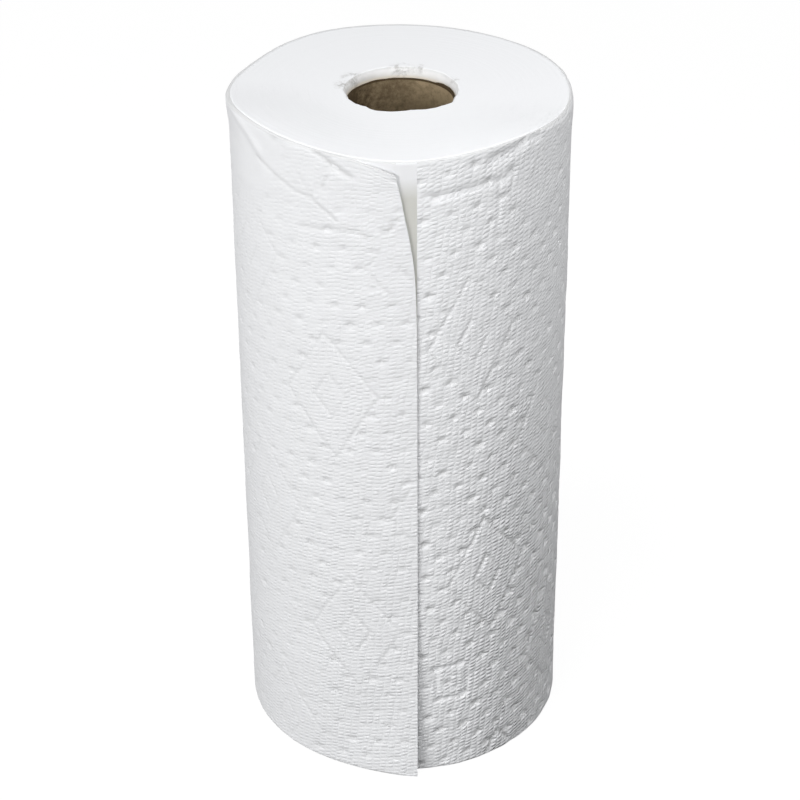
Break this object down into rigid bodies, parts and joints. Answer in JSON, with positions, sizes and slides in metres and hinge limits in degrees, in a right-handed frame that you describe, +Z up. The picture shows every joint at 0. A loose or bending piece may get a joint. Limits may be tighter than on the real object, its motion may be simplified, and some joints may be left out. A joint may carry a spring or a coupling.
{
  "type": "paper towel roll",
  "caption": "Upright roll of white embossed paper towel wound on a brown cardboard core, its loose end curling away from the roll at the base.",
  "frame": {"origin": "on the roll's axis, at the base that it stands on", "axes": "+Z up along the roll's axis, -Y towards the side where the loose end of the paper lies, +X to the right of it"},
  "size_m": [0.1311, 0.1369, 0.279],
  "materials": {
    "towel_paper": "matt, soft, embossed white tissue",
    "core_board": "matt, fibrous brown board"
  },
  "bodies": {
    "root": {"paper_roll": "towel_paper", "core_tube": "core_board"}
  },
  "joints": []
}
